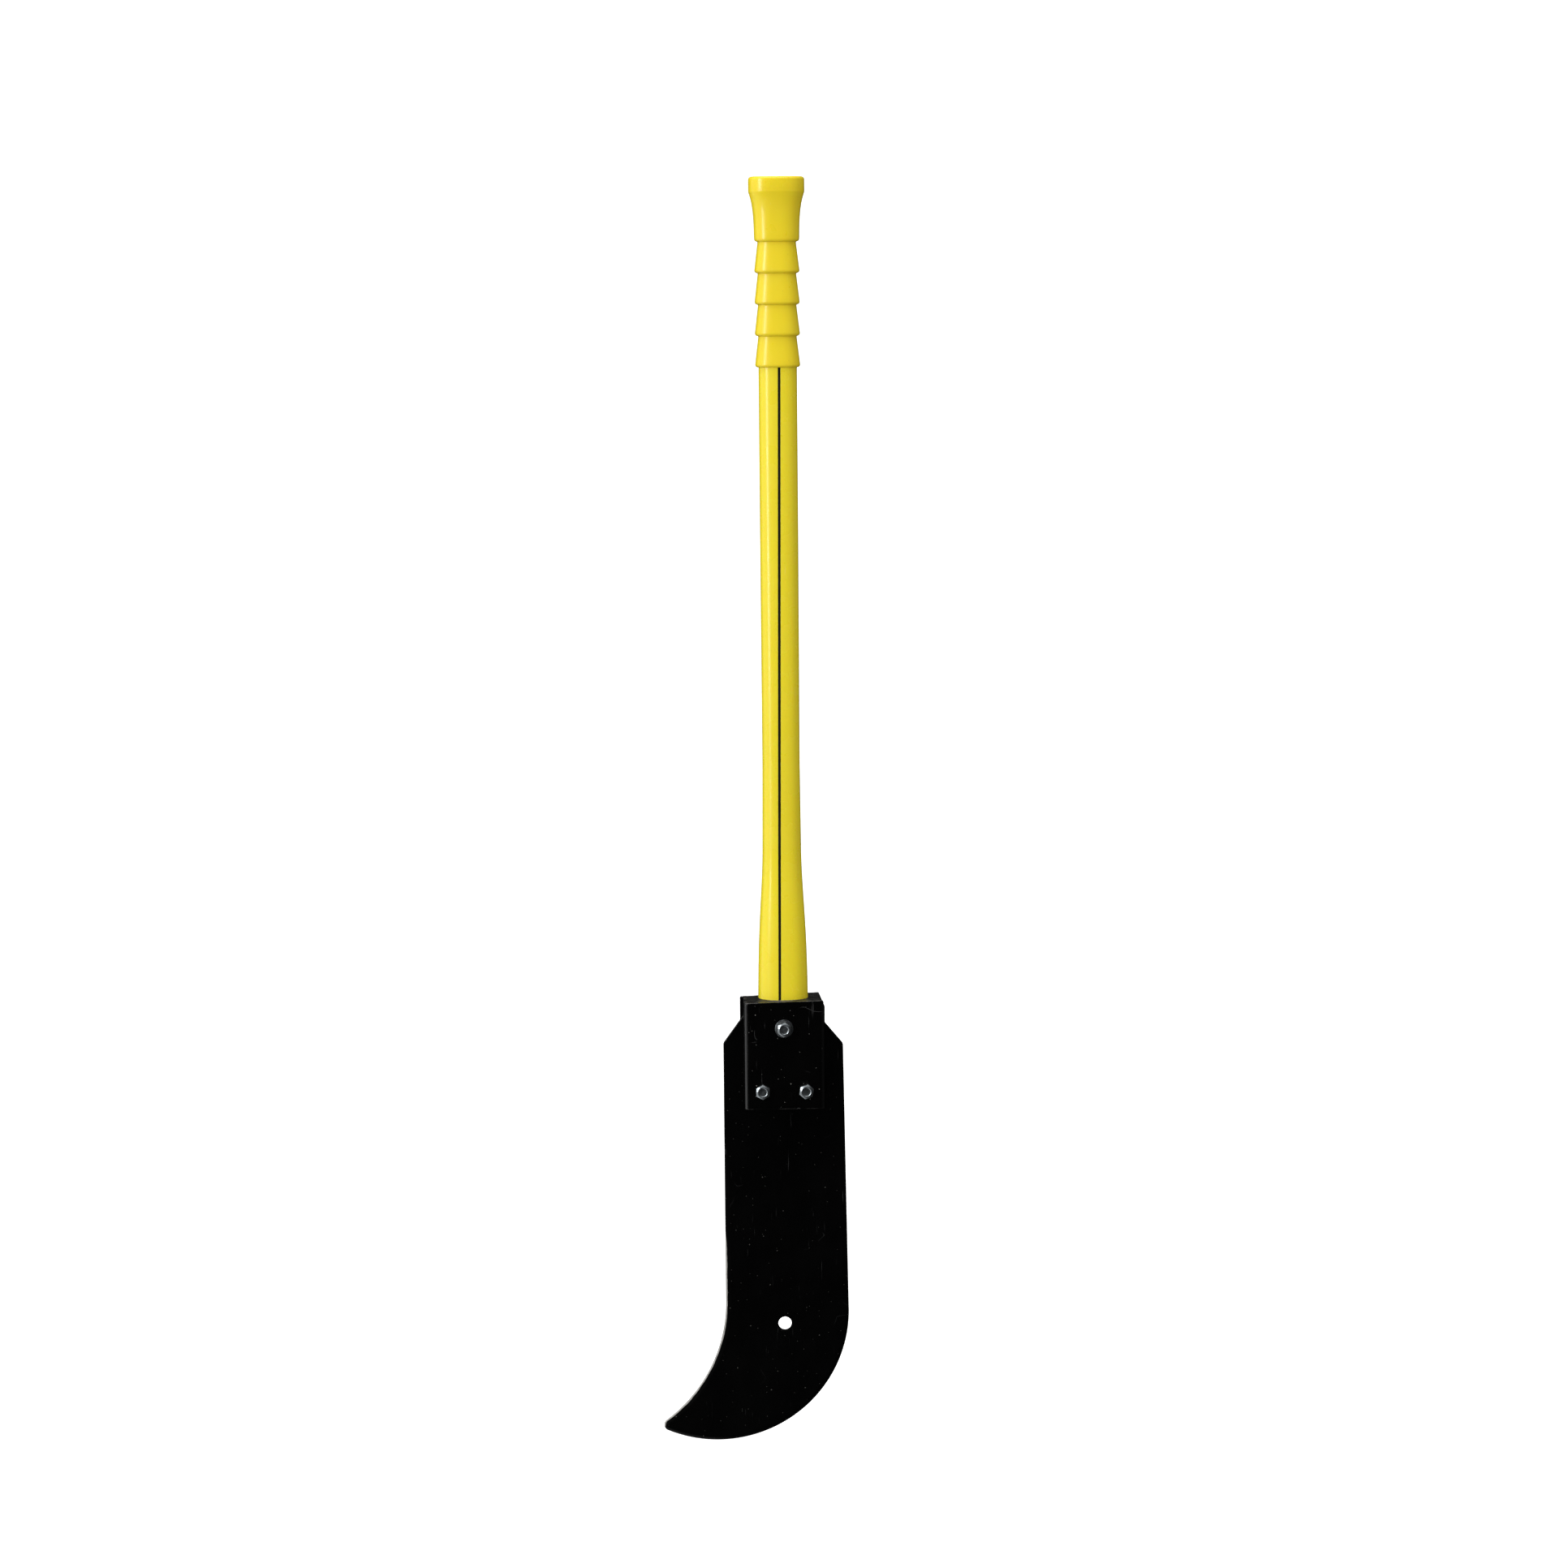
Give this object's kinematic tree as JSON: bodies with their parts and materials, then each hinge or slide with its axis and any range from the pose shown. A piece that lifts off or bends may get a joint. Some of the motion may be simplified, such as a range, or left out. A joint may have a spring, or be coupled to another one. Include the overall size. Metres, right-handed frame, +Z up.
{
  "type": "bush hook",
  "caption": "Two-handed bush hook: a hooked flat steel blade bolted into a folded steel housing, on a fibreglass-cored yellow handle with a stepped, flared grip.",
  "frame": {"origin": "centre of the blade's hang hole, at mid thickness of the blade", "axes": "+Z up along the handle towards the butt end, blade hanging down; -Y is the front, the side the housing stands on; +X towards the belly side of the blade, the hook opens towards -X"},
  "size_m": [0.1811, 0.0851, 1.2198],
  "materials": {
    "black_painted_steel": "black lacquer over rolled steel sheet, semi-gloss",
    "black_resin": "poured black resin filler",
    "fibreglass": "pultruded glass fibre in resin, hidden inside the handle",
    "yellow_polymer": "glossy moulded yellow polymer",
    "black_polymer": "black inlay flush with the handle's face",
    "zinc_plate": "bright zinc plate"
  },
  "bodies": {
    "root": {"blade": "black_painted_steel", "front_housing": "black_painted_steel", "back_plate": "black_painted_steel", "potting": "black_resin", "handle_core": "fibreglass", "handle_jacket": "yellow_polymer", "handle_stripe": "black_polymer", "grip": "yellow_polymer", "top_bolt": "zinc_plate", "hook_side_bolt": "zinc_plate", "belly_side_bolt": "zinc_plate", "top_head_washer": "zinc_plate", "top_head_lock_washer": "zinc_plate", "top_washer": "zinc_plate", "hook_side_washer": "zinc_plate", "belly_side_washer": "zinc_plate", "top_lock_washer": "zinc_plate", "hook_side_lock_washer": "zinc_plate", "belly_side_lock_washer": "zinc_plate", "top_nut": "zinc_plate", "hook_side_nut": "zinc_plate", "belly_side_nut": "zinc_plate"}
  },
  "joints": []
}
